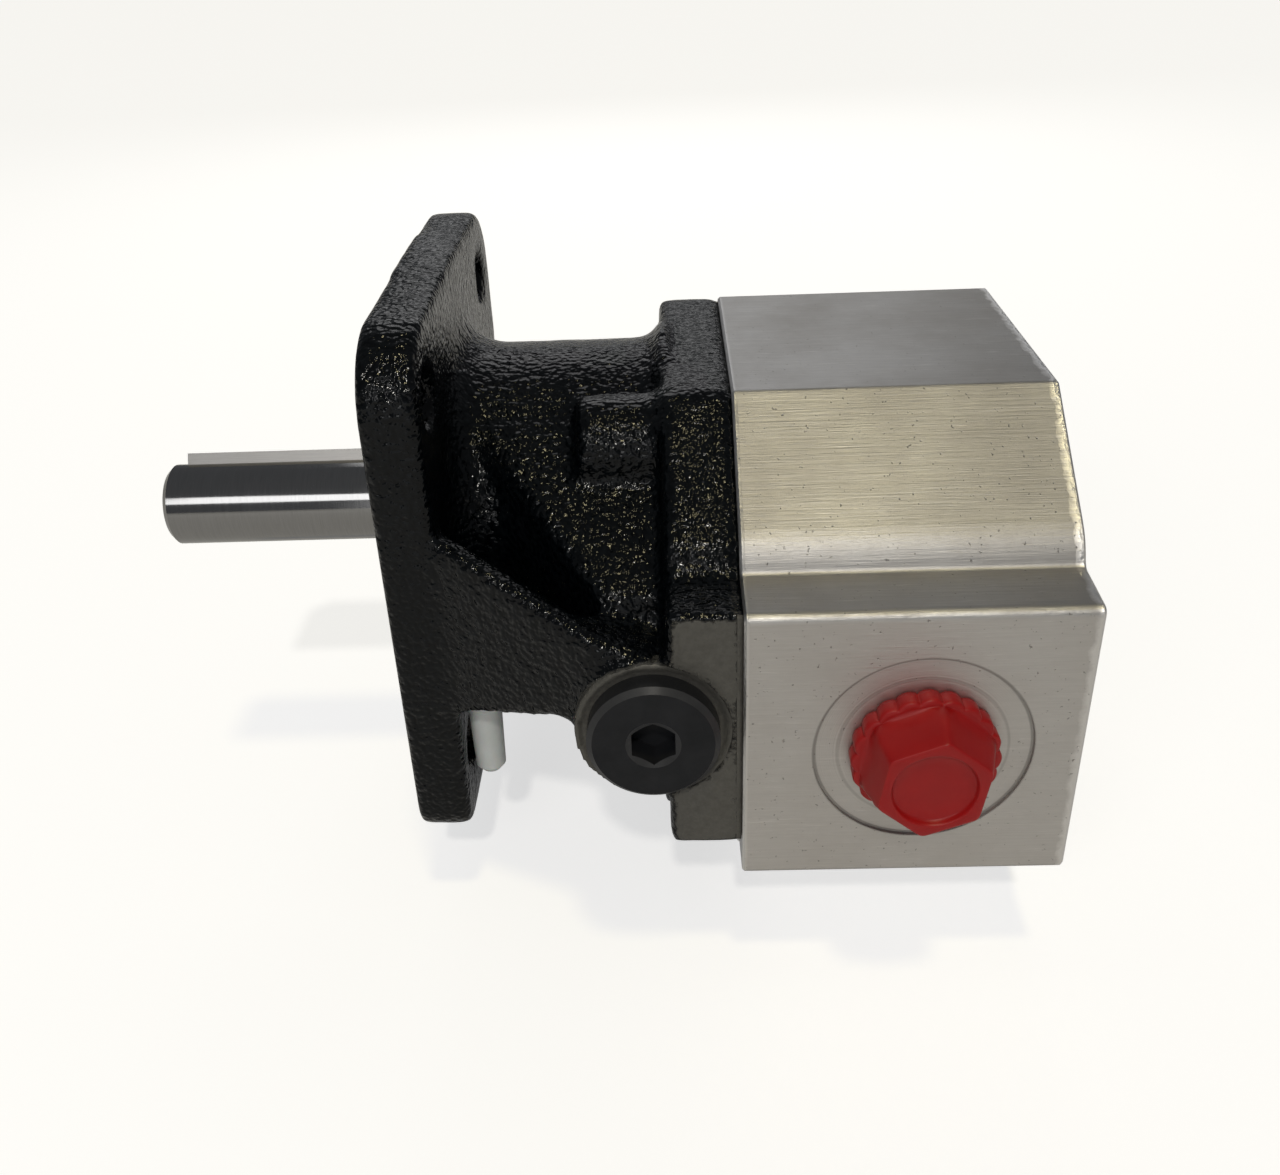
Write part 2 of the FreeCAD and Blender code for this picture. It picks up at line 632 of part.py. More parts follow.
def make_gear(label, height, keyed):
    """A spur gear with involute flanks, one tooth pointing down, as a solid of its own."""
    flank = involute_flank(9)
    root = (size.gear_module * (TEETH / 2 - 1.2)).value
    start, width = gear_front.value, size.gear_width.value
    edges, pitch_angle = [], 2 * math.pi / TEETH
    for tooth in range(TEETH):
        middle = -math.pi / 2 + tooth * pitch_angle
        rising = [polar(radius, middle - angle, start) for radius, angle in flank]
        falling = [polar(radius, middle + angle, start) for radius, angle in reversed(flank)]
        foot_angle, tip_angle = flank[0][1], flank[-1][1]
        foot_in = polar(root, middle - foot_angle, start)
        foot_out = polar(root, middle + foot_angle, start)
        next_foot = polar(root, middle + pitch_angle - foot_angle, start)
        edges.append(Part.LineSegment(foot_in, rising[0]).toShape())
        edges.append(spline(rising))
        edges.append(Part.Arc(rising[-1], polar(flank[-1][0], middle, start), falling[0]).toShape())
        edges.append(spline(falling))
        edges.append(Part.LineSegment(falling[-1], foot_out).toShape())
        edges.append(Part.Arc(foot_out, polar(root, middle + pitch_angle / 2, start),
                              next_foot).toShape())
    face = Part.Face(Part.Wire(edges))
    solid = face.extrude(Vector(width, 0, 0))
    bore = Part.makeCylinder(journal_radius.value, width + 2, Vector(start - 1, 0, 0), Vector(1, 0, 0))
    solid = solid.cut(bore)
    if keyed:
        key_width = size.gear_key_width.value
        slot = Part.makeBox(width + 2, key_width, journal_radius.value + key_width / 2,
                            Vector(start - 1, -key_width / 2, 0))
        solid = solid.cut(slot)
    gear = doc.addObject("Part::Feature", label)
    gear.Shape = solid
    gear.Label = label
    bind_place(gear, (0, 0, height))
    return gear


def spline(points):
    curve = Part.BSplineCurve()
    curve.interpolate(points)
    return curve.toShape()


# ---------------------------------------------------------------- bearing blocks, bushings, seals
def make_plate(label, start, end, hole_radius, clearance):
    """A figure-eight plate that fits the gear chamber."""
    body = body_on_sheet(label)
    outer = chamber_radius - clearance
    for height in (ZERO, idler_height):
        pad(body, sketch(body, "YZ_Plane", circles=[(0, height, outer)], offset=start), end - start)
    holes = [(0, height, hole_radius) for height in (ZERO, idler_height)]
    pocket(body, sketch(body, "YZ_Plane", circles=holes, offset=end + 1), end - start + 2)
    return body


def make_seal_band(label, start, end, clearance):
    """A flat band round both chambers, from start to end behind the joint between the housings."""
    inner = chamber_radius + size.seal_land - clearance
    outer = chamber_radius + size.seal_land + size.section_seal_width + clearance
    halves = [slot_solid("slot", joint_plane + start - grow, joint_plane + end + grow, radius)
              for radius, grow in ((outer, ZERO), (inner, as_size(1)))]
    ring = doc.addObject("Part::Cut", label)
    ring.Base, ring.Tool = halves
    ring.Label = label
    return ring


def slot_solid(name, start, end, radius):
    """A solid of slot section: two cylinders on the gear axes and the box between them."""
    slot = doc.addObject("Part::MultiFuse", name)
    drums = [cylinder("slot_end", radius, end - start, (start, 0, height), "X")
             for height in (ZERO, idler_height)]
    middle = doc.addObject("Part::Box", "slot_middle")
    bind(middle, Length=end - start, Width=radius * 2, Height=gear_centres)
    bind_place(middle, (start, -radius, idler_height))
    slot.Shapes = drums + [middle]
    return slot


def make_bushings():
    spans = {"front": (block_front, block_back - 0.2), "rear": (thrust_back, rear_bush_end)}
    heights = {"drive": ZERO, "idler": idler_height}
    return [turned_about_x("bushing_%s_%s" % (shaft, place),
                           ring_corners(spans[place][0], spans[place][1], bush_bore, bush_outer),
                           heights[shaft])
            for place in spans for shaft in heights]


def make_shaft_seal():
    """Lip seal: an outer band, a web and a lip that stands just clear of the shaft."""
    lip = journal_radius + size.running_gap
    outer = size.seal_outer / 2
    return turned_about_x("shaft_seal", [
        (seal_front, outer), (seal_front, lip + 2), (seal_front + 2, lip + 1.2),
        (seal_front + 4.2, lip), (seal_back - 0.8, lip + 1.6), (seal_back - 0.8, lip + 2.8),
        (seal_front + 2.2, lip + 3.6), (seal_front + 2.2, outer - 1.8), (seal_back, outer - 1.8),
        (seal_back, outer)])


# ---------------------------------------------------------------- ball bearing
ball_radius = size.ball_diameter / 2
ball_circle = (bearing_radius + journal_radius) / 2
race_radius = ball_radius + 0.05
inner_land = ball_circle - ball_radius * 0.62
outer_land = ball_circle + ball_radius * 0.62
bearing_middle = bearing_front + size.bearing_width / 2


def race_torus(name):
    """The path of the balls, to cut the raceways."""
    path = doc.addObject("Part::Torus", name)
    bind(path, Radius1=ball_circle, Radius2=race_radius)
    path.Placement.Rotation = FreeCAD.Rotation(Vector(0, 1, 0), 90)
    bind_place(path, (bearing_middle, 0, 0))
    return path


def make_bearing_ring(label, inner, outer):
    blank = turned_about_x(label + "_blank", ring_corners(bearing_front, bearing_back, inner, outer))
    race = doc.addObject("Part::Cut", label)
    race.Base, race.Tool = blank, race_torus(label + "_race")
    race.Label = label
    return race


def make_balls_and_cage():
    """The balls, and a snap cage: a band with a pocket for each ball."""
    balls, pockets = [], []
    for number in range(BALLS):
        angle = 2 * math.pi * number / BALLS
        place = (bearing_middle, ball_circle * math.cos(angle), ball_circle * math.sin(angle))
        for radius, made in ((ball_radius, balls), (ball_radius + 0.12, pockets)):
            ball = doc.addObject("Part::Sphere", "ball")
            bind(ball, Radius=radius)
            bind_place(ball, place)
            made.append(ball)
    band = turned_about_x("cage_band", ring_corners(bearing_middle - 4.6, bearing_middle + 4.6,
                                                    ball_circle - 1.1, ball_circle + 1.1))
    holes = doc.addObject("Part::MultiFuse", "cage_pockets")
    holes.Shapes = pockets
    cage = doc.addObject("Part::Cut", "bearing_cage")
    cage.Base, cage.Tool = band, holes
    cage.Label = "bearing_cage"
    return [group("bearing_balls", balls), cage]


def make_retaining_ring(label, start, inner, outer, gap_width, gap_up):
    """A flat spring ring, open at one place so that it can be sprung into its groove."""
    blank = turned_about_x(label + "_blank", ring_corners(start, start + size.ring_wire - 0.2,
                                                          inner, outer))
    gap = doc.addObject("Part::Box", label + "_gap")
    bind(gap, Length=size.ring_wire + 2, Width=gap_width, Height=outer + 2)
    bind_place(gap, (start - 1, -gap_width / 2, 0 if gap_up else -outer - 2))
    ring = doc.addObject("Part::Cut", label)
    ring.Base, ring.Tool = blank, gap
    ring.Label = label
    return ring


# ---------------------------------------------------------------- screws, dowels, plugs
def make_screws():
    """Socket head screws from the rear, sunk in their counterbores."""
    seat = rear_face - size.counterbore_depth
    head_height = size.counterbore_depth - 1
    screws = []
    for y, z in screw_places():
        screw = body_on_sheet("screw", (0, y, z))
        tip = joint_plane - size.screw_depth + 1
        revolve(screw, sketch(screw, "XZ_Plane", [
            (tip, 0), (tip, size.screw_diameter / 2 - 1), (tip + 1, size.screw_diameter / 2 - 0.02),
            (seat, size.screw_diameter / 2 - 0.02), (seat, size.screw_head / 2),
            (seat + head_height - 0.8, size.screw_head / 2),
            (seat + head_height, size.screw_head / 2 - 0.8), (seat + head_height, 0)]))
        socket = sketch(screw, "YZ_Plane", hexagon(size.screw_diameter * 0.8),
                        offset=seat + head_height)
        pocket(screw, socket, size.screw_diameter / 2)
        screws.append(screw)
    return group("assembly_screws", screws)


def hexagon(across_flats, turn=0.0):
    """Corners of a hexagon about the origin, by the distance between its flats."""
    corner = across_flats / math.sqrt(3)
    angles = [math.radians(60 * number + turn) for number in range(6)]
    return [(corner * round(math.cos(angle), 12), corner * round(math.sin(angle), 12))
            for angle in angles]


def make_dowels():
    return group("dowel_pins", [
        cylinder("dowel", size.dowel_diameter / 2 - 0.01, size.dowel_reach * 2 - 0.6,
                 (joint_plane - size.dowel_reach + 0.3, y, z), "X") for y, z in dowel_places()])


def make_valve_plug():
    """Steel plug with a hex socket, hollow at its inner end to hold the spring."""
    head, thread = size.plug_head / 2, size.plug_thread / 2 - 0.05
    outer_face = -size.pad_face - size.plug_proud
    inner_end = plug_seat + size.plug_thread_length
    body = turned_about_y("valve_plug", [
        (0, outer_face), (head - 1.1, outer_face), (head, outer_face + 1.1), (head, plug_seat),
        (thread - 1.4, plug_seat), (thread - 1.4, plug_seat + 2.6), (thread, plug_seat + 4),
        (thread, inner_end - 1), (thread - 1, inner_end), (spring_seat_radius, inner_end),
        (spring_seat_radius, inner_end - size.spring_pocket), (0, inner_end - size.spring_pocket)],
        (size.valve_station, 0, boss_height))
    face = -outer_face
    pocket(body, sketch(body, "XZ_Plane", hexagon(size.plug_hex, 30.0), offset=face),
           size.plug_socket_depth)
    flare = size.plug_hex / 2 + 1.3
    groove(body, sketch(body, "XY_Plane", [
        (0, outer_face - 0.1), (flare, outer_face - 0.1), (0, outer_face + flare * 0.58)]), "V_Axis")
    return body


valve_seat_end = -size.valve_bore_end - size.seat_length
poppet_cone = 2.4
spring_radius = size.poppet_head / 2 - size.spring_wire / 2 - 0.3
spring_seat_radius = spring_radius + size.spring_wire / 2 + 0.4


def o_ring(label, seat_radius, wire_radius, place):
    """A round rubber ring about an axis along Y."""
    ring = doc.addObject("Part::Torus", label)
    ring.Label = label
    bind(ring, Radius1=seat_radius + wire_radius, Radius2=wire_radius)
    ring.Placement.Rotation = FreeCAD.Rotation(Vector(1, 0, 0), 90)
    bind_place(ring, place)
    return ring


def make_valve_seat():
    inner = -size.valve_bore_end
    return turned_about_y("valve_seat", [
        (size.seat_hole / 2, inner), (size.valve_bore / 2 - 0.01, inner),
        (size.valve_bore / 2 - 0.01, inner - size.seat_length),
        (size.seat_hole / 2 + 1.2, inner - size.seat_length),
        (size.seat_hole / 2, inner - size.seat_length + 1.2)], (size.valve_station, 0, boss_height))


def make_poppet():
    """A guided piston with a cone that closes the seat, and a stem that centres the spring."""
    guide = size.valve_bore / 2 - size.running_gap
    stem = spring_radius - size.spring_wire / 2 - 0.3
    tip, cone_foot = valve_seat_end + 0.8, valve_seat_end - 2
    back = valve_seat_end - poppet_cone
    skirt_end, stem_end = back - size.poppet_length / 2, back - size.poppet_length
    return turned_about_y("valve_poppet", [
        (0, tip), (size.seat_hole / 2 - 1.2, tip), (size.seat_hole / 2 + 1.6, cone_foot),
        (guide - 1.4, back), (guide, back - 0.6), (guide, skirt_end), (stem, skirt_end),
        (stem, stem_end), (0, stem_end)], (size.valve_station, 0, boss_height))


def make_spring():
    """Round wire coiled between the poppet's shoulder and the floor of the plug's pocket."""
    poppet_shoulder = valve_seat_end - poppet_cone - size.poppet_length / 2
    floor = plug_seat + size.plug_thread_length - size.spring_pocket
    wire = size.spring_wire / 2
    coil = doc.addObject("Part::Helix", "spring_line")
    length = poppet_shoulder - floor - size.spring_wire - 0.2
    bind(coil, Pitch=size.spring_pitch, Height=length, Radius=spring_radius)
    bind_place(coil, (size.valve_station, poppet_shoulder - wire - 0.1, boss_height))
    coil.Placement.Rotation = FreeCAD.Rotation(Vector(1, 0, 0), 90)
    ring = doc.addObject("Part::Circle", "spring_section")
    bind(ring, Radius=wire)
    ring.Placement.Rotation = FreeCAD.Rotation(Vector(0, 0, 1), 0)
    bind_place(ring, (size.valve_station + spring_radius, poppet_shoulder - wire - 0.1, boss_height))
    spring = doc.addObject("Part::Sweep", "valve_spring")
    spring.Sections = [ring]
    spring.Spine = (coil, ["Edge1"])
    spring.Solid, spring.Frenet = True, True
    spring.Label = "valve_spring"
    return spring


def make_port_plug():
    """Plastic shipping cap in the outlet: round flange, tapered hexagon with a dished end, shank."""
    face = -size.port_face + size.spotface_depth
    flange_end, end = face - size.cap_flange_thickness, face - size.cap_height
    shank, shank_end = size.outlet_bore / 2 - 0.3, face + size.cap_shank
    body = turned_about_y("outlet_port_plug", [
        (0, shank_end), (shank - 0.6, shank_end), (shank, shank_end - 2), (shank, face),
        (size.cap_flange / 2, face), (size.cap_flange / 2, flange_end), (0, flange_end)],
        (size.port_station, 0, mesh_height))
    outline = hexagon(size.cap_hex, size.cap_turn.value)
    head = pad(body, sketch(body, "XZ_Plane", outline, offset=-flange_end), flange_end - end)
    head.TaperAngle = -size.cap_taper.value
    dish = sketch(body, "XZ_Plane", circles=[(0, 0, size.cap_hex / 2 - size.cap_dish_rim)],
                  offset=-end)
    pocket(body, dish, size.cap_dish_depth)
    return body


def make_drain_plug():
    """Plastic plug pushed up into the drain port under the gusset, with a collar and a grip."""
    top = size.web_floor + size.drain_seat - 1
    collar_foot, tip = size.web_floor - 3, size.web_floor - size.drain_length
    radius = size.drain_diameter / 2
    body = body_on_sheet("drain_plug", (size.drain_station, -size.drain_side, 0))
    revolve(body, sketch(body, "XZ_Plane", [
        (0, top), (radius - 0.05, top), (radius - 0.05, size.web_floor),
        (radius + 0.5, size.web_floor), (radius + 0.5, collar_foot), (radius, collar_foot - 0.6),
        (radius - 0.4, tip + 1.5), (radius - 1.6, tip), (0, tip)]), "V_Axis")
    return body


def make_idler_shaft():
    end, radius = rear_bush_end - 0.4, journal_radius - 0.02
    return turned_about_x("idler_shaft", [
        (block_front + 0.2, 0), (block_front + 0.2, radius - 0.8), (block_front + 1, radius),
        (end - 1, radius), (end, radius - 0.8), (end, 0)], idler_height)


def boxed(label, box):
    box.Label = label
    return box


# ---------------------------------------------------------------- assembly
def make_all():
    pieces = [make_front_housing(), make_gear_housing(), make_drive_shaft(),
              boxed("shaft_key", stub_key_box("shaft_key")),
              boxed("gear_key", gear_key_box(
                  "gear_key", journal_radius + size.gear_key_width / 2 - 0.1)),
              make_gear("drive_gear", ZERO, True), make_gear("idler_gear", idler_height, False),
              make_idler_shaft(),
              make_plate("front_bearing_block", block_front, block_back, bush_outer, 0.02),
              make_plate("rear_thrust_plate", thrust_front, thrust_back, journal_radius + 0.4, 0.02),
              make_seal_band("section_seal", 0.05, size.section_seal_depth, 0), make_shaft_seal(),
              make_bearing_ring("bearing_outer_ring", outer_land, bearing_radius),
              make_bearing_ring("bearing_inner_ring", journal_radius, inner_land),
              make_retaining_ring("bearing_retaining_ring", bearing_front - size.ring_wire,
                                  bearing_radius - 3.4, bearing_radius + size.ring_wire - 0.5,
                                  as_size(9), False),
              make_screws(), make_dowels(), make_valve_plug(), make_valve_seat(), make_poppet(),
              make_spring(), make_port_plug(), make_drain_plug(),
              o_ring("valve_plug_seal", size.plug_thread / 2 - 1.4, as_size(0.7),
                     (size.valve_station, plug_seat + 1.3, boss_height))]
    return pieces + make_bushings() + make_balls_and_cage()


def export(pieces):
    """Checks every object and every piece, then writes one STEP file for each piece."""
    doc.recompute()
    for item in doc.Objects:
        if "Invalid" in item.State or "Error" in item.State:
            raise RuntimeError("%s is %s" % (item.Label, item.State))
    for piece in pieces:
        if piece.Shape.isNull() or not piece.Shape.isValid():
            raise RuntimeError("%s has no valid shape" % piece.Label)
    os.makedirs("parts", exist_ok=True)
    for piece in pieces:
        piece.Shape.exportStep("parts/%s.step" % piece.Label)
    print("%d nodes written" % len(pieces))


export(make_all())
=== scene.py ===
# %% [markdown]
# # A hydraulic gear pump, from bare solids to paint, brushed aluminium and steel
# The pump is a painted iron casting bolted to a block of aluminium.  Its working parts come from
# the CAD frame and are never moved here.  These cells give every surface its finish, and replace
# three parts with meshes of their own: the casting, whose edges are soft because it left a sand
# mould, the plastic cap in the outlet port, whose flange is serrated, and the relief valve's
# spring, which shortens.

# %% Load the frame
import math
import bmesh
import bpy
import numpy as np
from mathutils import Matrix, Vector


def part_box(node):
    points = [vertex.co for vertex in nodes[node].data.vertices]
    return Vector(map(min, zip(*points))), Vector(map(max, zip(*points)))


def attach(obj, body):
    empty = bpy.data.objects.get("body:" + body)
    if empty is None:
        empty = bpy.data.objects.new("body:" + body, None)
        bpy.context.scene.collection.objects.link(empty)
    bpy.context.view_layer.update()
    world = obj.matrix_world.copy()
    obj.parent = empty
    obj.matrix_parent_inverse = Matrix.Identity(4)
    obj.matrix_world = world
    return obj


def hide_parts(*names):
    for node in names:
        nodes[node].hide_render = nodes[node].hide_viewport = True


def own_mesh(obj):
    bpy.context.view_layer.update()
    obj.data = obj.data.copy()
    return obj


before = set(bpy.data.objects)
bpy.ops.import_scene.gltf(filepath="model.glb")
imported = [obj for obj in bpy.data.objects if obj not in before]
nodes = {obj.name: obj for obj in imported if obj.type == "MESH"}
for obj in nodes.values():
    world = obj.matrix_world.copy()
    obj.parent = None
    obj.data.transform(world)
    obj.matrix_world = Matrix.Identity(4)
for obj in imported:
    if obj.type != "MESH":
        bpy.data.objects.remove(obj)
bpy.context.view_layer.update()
MM = 0.001
print("CAD nodes:", len(nodes))


def add(name, data):
    """A new object in the scene that carries this mesh, light or camera."""
    made = bpy.data.objects.new(name, data)
    bpy.context.scene.collection.objects.link(made)
    return made

# %% [markdown]
# ## Sizes that the looks follow
# Every place below comes from the boxes of the CAD nodes, so the looks stay on the parts if a
# size changes in the design.

# %% Places read from the frame
casting_low, casting_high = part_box("front_housing")
block_low, block_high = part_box("gear_housing")
cap_low, cap_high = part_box("outlet_port_plug")
valve_low, valve_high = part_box("valve_plug")
cap_axis = (cap_low + cap_high) / 2
valve_axis = (valve_low + valve_high) / 2
print("aluminium block from x = %.1f to %.1f mm" % (block_low.x / MM, block_high.x / MM))

# %% [markdown]
# ## The camera
# The pump is seen from its outlet side and from above, close enough for the lens to spread the
# near corner.  The camera is described by how it is turned and where it stands.

# %% Camera
AZIMUTH, ELEVATION, ROLL = (math.radians(angle) for angle in (2.05, 30.16, -2.51))
CAMERA_PLACE = Vector((58.2, -269.1, 129.9)) * MM
LENS, SENSOR = 35.1, 36.0
SIDE_SHIFT = 0.0048
NEAREST = 10 * MM


def camera_turn(azimuth, elevation, roll):
    """Axes of the camera as matrix columns: right, up and back, with roll about the view line."""
    back = Vector((math.sin(azimuth) * math.cos(elevation),
                   -math.cos(azimuth) * math.cos(elevation), math.sin(elevation)))
    level = Vector((math.cos(azimuth), math.sin(azimuth), 0))
    upright = back.cross(level)
    right = math.cos(roll) * level + math.sin(roll) * upright
    up = math.cos(roll) * upright - math.sin(roll) * level
    return Matrix((right, up, back)).transposed()


camera = add("camera", bpy.data.cameras.new("camera"))
camera.matrix_world = Matrix.Translation(CAMERA_PLACE) @ camera_turn(
    AZIMUTH, ELEVATION, ROLL).to_4x4()
camera.data.lens, camera.data.sensor_width = LENS, SENSOR
camera.data.shift_x = SIDE_SHIFT
camera.data.clip_start = NEAREST
bpy.context.scene.camera = camera
print("camera stands %.0f mm from the origin" % (CAMERA_PLACE.length / MM))

# %% [markdown]
# ## Shader arithmetic as plain expressions
# A material is a small program.  `Value` wraps a node socket, so that `grain * 0.2 + 0.4` adds the
# Math nodes by itself.

# %% The socket wrapper
class Value:
    """A number that varies over the surface, held by a node socket of one material."""

    def __init__(self, tree, socket):
        self.tree, self.socket = tree, socket

    def math(self, operation, first, second=None, clamp=False):
        node = self.tree.nodes.new("ShaderNodeMath")
        node.operation, node.use_clamp = operation, clamp
        for slot, number in zip(node.inputs, (first, second)):
            if number is not None:
                plug(self.tree, slot, number)
        return Value(self.tree, node.outputs[0])

    def __add__(self, other):
        return self.math("ADD", self, other)

    def __sub__(self, other):
        return self.math("SUBTRACT", self, other)

    def __mul__(self, other):
        return self.math("MULTIPLY", self, other)

    def __rsub__(self, other):
        return self.math("SUBTRACT", other, self)

    __radd__, __rmul__ = __add__, __mul__

    def maximum(self, other):
        return self.math("MAXIMUM", self, other)

    def clamp(self):
        return self.math("ADD", self, 0.0, clamp=True)

    def step(self, low, high):
        """0 below low, 1 above high, and a straight rise between."""
        return ((self - low) * (1.0 / (high - low))).clamp()


def plug(tree, slot, value):
    """Gives an input a link or a constant."""
    if isinstance(value, Value):
        tree.links.new(value.socket, slot)
    elif isinstance(value, bpy.types.NodeSocket):
        tree.links.new(value, slot)
    else:
        slot.default_value = value


# %% The material maker
class Finish:
    """A material with its shader, and one method that adds any other node."""

    def __init__(self, name, **constants):
        self.material = bpy.data.materials.new(name)
        self.material.use_nodes = True
        self.tree = self.material.node_tree
        self.shader = self.tree.nodes["Principled BSDF"]
        self.place = self.node("ShaderNodeTexCoord", output="Object")
        for socket, value in constants.items():
            self.set(socket.replace("_", " "), value)

    def node(self, kind, output=0, settings=None, **inputs):
        """Adds a node, applies its settings, then its inputs by name or by _number."""
        made = self.tree.nodes.new(kind)
        for name, value in (settings or {}).items():
            setattr(made, name, value)
        for name, value in inputs.items():
            key = int(name[1:]) if name[0] == "_" else name.replace("_", " ")
            plug(self.tree, made.inputs[key], value)
        return Value(self.tree, made.outputs[output])

    def set(self, socket, value):
        plug(self.tree, self.shader.inputs[socket], value)

    def stretched(self, scale, turn=(0, 0, 0)):
        """Object coordinates with a pattern's own scale, in cells per metre along each axis."""
        return self.node("ShaderNodeMapping", Vector=self.place, Scale=scale, Rotation=turn)

    def noise(self, scale, detail=3.0, roughness=0.55, place=None):
        """Cloudy noise from 0 to 1 with so many cells per metre."""
        return self.node("ShaderNodeTexNoise", Vector=place or self.place, Scale=scale,
                         Detail=detail, Roughness=roughness)

    def turned_rings(self, radius, scale):
        """Noise that changes only with the distance from an axis, as lathe marks do."""
        return self.node("ShaderNodeTexNoise", Scale=1.0, Detail=2.0,
                         Vector=self.node("ShaderNodeCombineXYZ", X=radius * scale))

    def axis(self, letter):
        """One object coordinate, in metres."""
        return self.node("ShaderNodeSeparateXYZ", output="XYZ".index(letter), Vector=self.place)

    def facing(self, letter):
        """One component of the surface normal."""
        normal = self.node("ShaderNodeNewGeometry", output="True Normal")
        return self.node("ShaderNodeSeparateXYZ", output="XYZ".index(letter), Vector=normal)

    def distance_from_axis(self, centre):
        """Distance from the line along Y through a point."""
        offset = self.node("ShaderNodeVectorMath", settings={"operation": "SUBTRACT"},
                           _0=self.place, _1=tuple(centre))
        flat = self.node("ShaderNodeVectorMath", settings={"operation": "MULTIPLY"},
                         _0=offset, _1=(1, 0, 1))
        return self.node("ShaderNodeVectorMath", output="Value", settings={"operation": "LENGTH"},
                         _0=flat)

    def blend(self, factor, first, second):
        """Mixes two colours."""
        return self.node("ShaderNodeMix", output=2, settings={"data_type": "RGBA"}, _0=factor,
                         _6=first, _7=second)

    def bump(self, height, depth):
        """Raises the surface by depth metres where height is 1, and returns the bent normal."""
        return self.node("ShaderNodeBump", output="Normal", Height=height, Distance=depth,
                         Strength=1.0)

    def wear(self, node):
        """Puts this finish on a CAD node."""
        target = nodes[node].data
        target.materials.clear()
        target.materials.append(self.material)


def grey(level, warm=0.0):
    """A grey colour with alpha, leaning to yellow when warm is positive."""
    return (level * (1 + warm), level, level * (1 - warm), 1.0)

# %% [markdown]
# ## Studio
# A pale floor and five lights.  A large soft one stands behind and a smaller one in front, low
# down, for the faces that look sideways.  A warm lamp overhead and a clearer one higher in front
# light the aluminium's facets and make the rough paint glint.  The last, to the left, is the long
# bright line along the shaft.

# %% Lights
def area_light(name, place, aim, size, power, colour=(1.0, 1.0, 1.0)):
    """A square soft light that looks from place to aim; power in watts."""
    light = bpy.data.lights.new(name, "AREA")
    light.shape, light.size = "SQUARE", size
    light.energy, light.color = power, colour
    lamp = add(name, light)
    lamp.location = place
    lamp.rotation_euler = (Vector(place) - Vector(aim)).to_track_quat("Z", "Y").to_euler()


def far_lamp(name, toward, power, angle, colour):
    """Parallel light that arrives from a direction; angle is its source's width in degrees."""
    lamp = add(name, bpy.data.lights.new(name, "SUN"))
    lamp.data.energy, lamp.data.angle, lamp.data.color = power, math.radians(angle), colour
    lamp.rotation_euler = Vector(toward).to_track_quat("Z", "Y").to_euler()


middle = (casting_low + block_high) / 2
area_light("back", (0.05, 0.80, 0.45), middle, 0.60, 0.75)
area_light("front", (0.0, -0.95, 0.20), middle, 0.50, 0.35)
far_lamp("ceiling_lamp", (0.06, -0.25, 0.965), 0.40, 6, (1.0, 0.88, 0.52))
far_lamp("clear_lamp", (0.0, -0.66, 0.75), 0.65, 3, (1.0, 0.96, 0.88))
area_light("window", (-0.33, -0.84, 0.54), (-0.03, 0.0, 0.0), 0.30, 0.8)

world = bpy.data.worlds.new("studio")
world.use_nodes = True
sky = world.node_tree.nodes["Background"].inputs
sky["Color"].default_value = (0.92, 0.95, 1.0, 1.0)
sky["Strength"].default_value = 0.12
bpy.context.scene.world = world
bpy.context.scene.view_settings.view_transform = "Standard"

# %% Floor
FLOOR_REACH = 6.0
FLOOR_GAP = 0.2 * MM
floor_level = min(casting_low.z, block_low.z) - FLOOR_GAP
floor_mesh = bpy.data.meshes.new("floor")
floor_mesh.from_pydata([(x * FLOOR_REACH, y * FLOOR_REACH, floor_level)
                        for x, y in ((-1, -1), (1, -1), (1, 1), (-1, 1))], [], [(0, 1, 2, 3)])
floor = add("floor", floor_mesh)
floor_finish = Finish("floor_paint", Roughness=0.9, Specular_IOR_Level=0.1)
seen = floor_finish.node("ShaderNodeLightPath", output="Is Camera Ray")
floor_finish.set("Base Color", floor_finish.blend(seen, grey(0.68), grey(0.80)))
floor_finish.set("Emission Color", floor_finish.blend(seen, grey(0.2), grey(1.0)))
floor_finish.set("Emission Strength", 0.62)
floor_mesh.materials.append(floor_finish.material)
print("floor at z = %.1f mm" % (floor_level / MM))

# %% [markdown]
# ## Brushed aluminium
# The block was sawn from a bar and rubbed along its length with an abrasive belt, so fine lines run
# along X.  Noise squeezed across the lines gives them; a second, longer one varies the sheen.  The
# corners at the ends have worn brighter, and the faces carry small dull stains.  Light and shade
# are
# painted in as well: a painted highlight along the port face's top edge, the whole port face
# painted lighter and warmer, and painted shade in two thin dark rings round the port.

# %% Aluminium finish
SPOTFACE_RADIUS = 20.8 * MM
PORT_RING_RADIUS = 16.1 * MM
RING_FADE = 0.3 * MM


